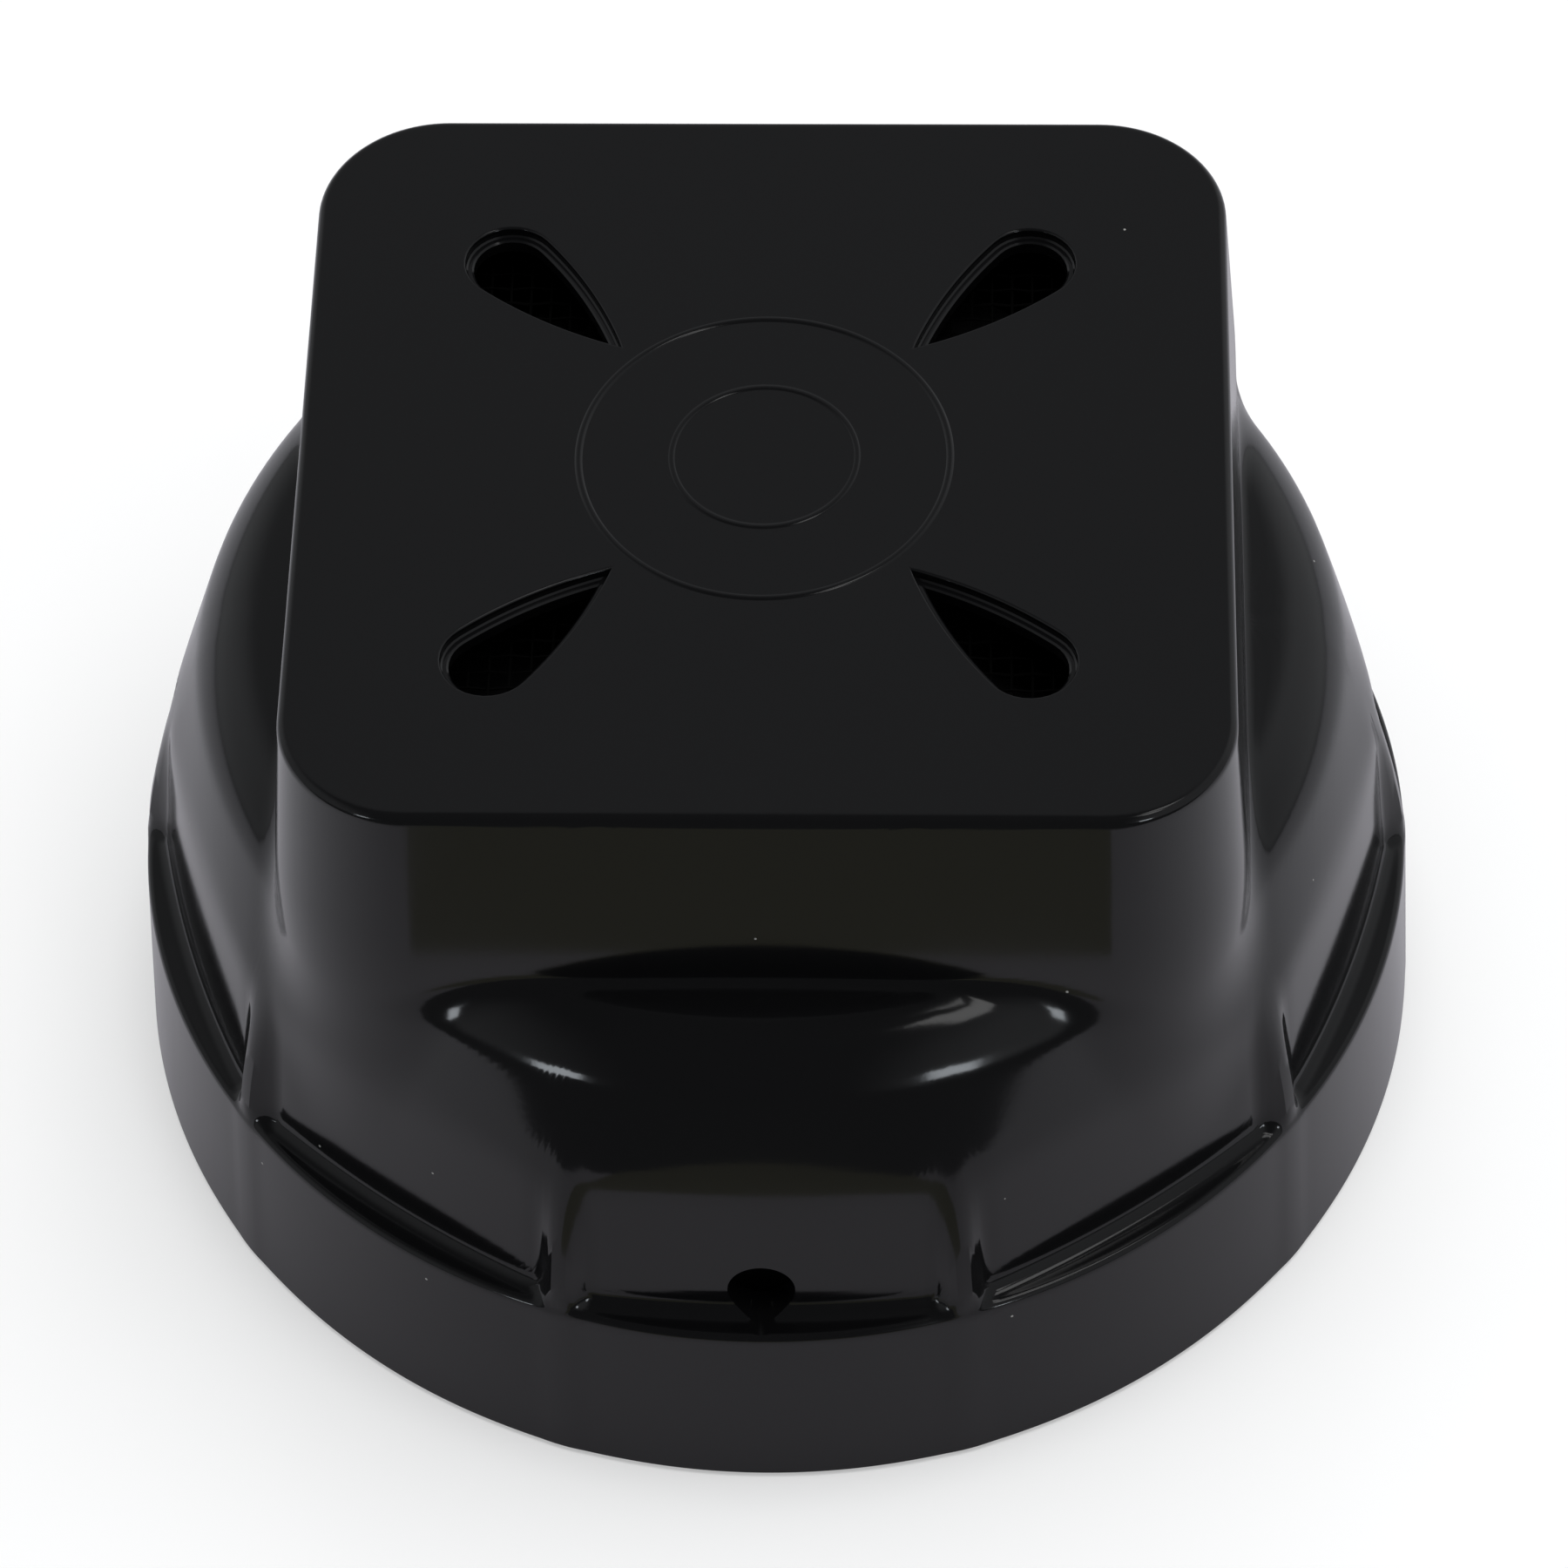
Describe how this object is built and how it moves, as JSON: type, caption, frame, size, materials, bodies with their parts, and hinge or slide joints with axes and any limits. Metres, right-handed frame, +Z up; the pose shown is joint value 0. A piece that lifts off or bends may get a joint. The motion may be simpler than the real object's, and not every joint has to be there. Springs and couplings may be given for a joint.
{
  "type": "bait station",
  "caption": "Round twist-off insect bait station with a square vented tower, gripped wall, entry holes, bait tray and wick-fed liquid reservoir.",
  "frame": {"origin": "centre of the round base at floor level", "axes": "+Z up; the front entry hole faces -Y; the square tower's walls face X and Y"},
  "size_m": [0.105, 0.105, 0.0635],
  "materials": {
    "cover_plastic": "high-gloss injection-moulded black ABS, faint scratches and dust",
    "base_plastic": "satin black polypropylene",
    "tray_plastic": "satin dark grey polypropylene",
    "pad_rubber": "matt foam rubber",
    "seal_foam": "closed-cell foam",
    "seal_rubber": "matt silicone",
    "steel": "bright stainless steel",
    "granules": "dry granules",
    "bait_block": "pressed wax block",
    "clear_plastic": "clear moulded polystyrene",
    "liquid": "amber sugar liquid",
    "cotton": "braided cotton",
    "cap_plastic": "satin red polypropylene",
    "screen_mesh": "coated glass-fibre insect mesh",
    "card": "uncoated card, blank"
  },
  "bodies": {
    "base": {"base_plate": "base_plastic", "foot_pads": "pad_rubber", "base_seal": "seal_foam", "pivot_screw": "steel", "pivot_washer": "steel"},
    "tray": {"bait_tray": "tray_plastic", "granular_bait": "granules", "bait_blocks": "bait_block"},
    "reservoir": {"liquid_reservoir": "clear_plastic", "liquid_bait": "liquid", "cap_seal": "seal_rubber", "wick": "cotton"},
    "cap": {"feeder_cap": "cap_plastic"},
    "cover": {"cover": "cover_plastic", "vent_screen": "screen_mesh", "screen_frame": "base_plastic", "baffle_spacers": "tray_plastic", "rain_baffle": "base_plastic", "baffle_screws": "steel", "service_card": "card", "card_clips": "steel"}
  },
  "joints": [
    {"name": "cover_twist", "type": "hinge", "parent": "base", "child": "tray", "pos_m": [0, 0, 0], "axis": [0, 0, -1], "range_deg": [0, 30]},
    {"name": "cover_lift", "type": "slide", "parent": "tray", "child": "cover", "axis": [0, 0, 1], "range_m": [0, 0.08]},
    {"name": "reservoir_lift", "type": "slide", "parent": "tray", "child": "reservoir", "axis": [0, 0, 1], "range_m": [0, 0.01]},
    {"name": "cap_turn", "type": "hinge", "parent": "reservoir", "child": "cap", "pos_m": [0, 0, 0.03], "axis": [0, 0, 1], "range_deg": [0, 360]}
  ]
}
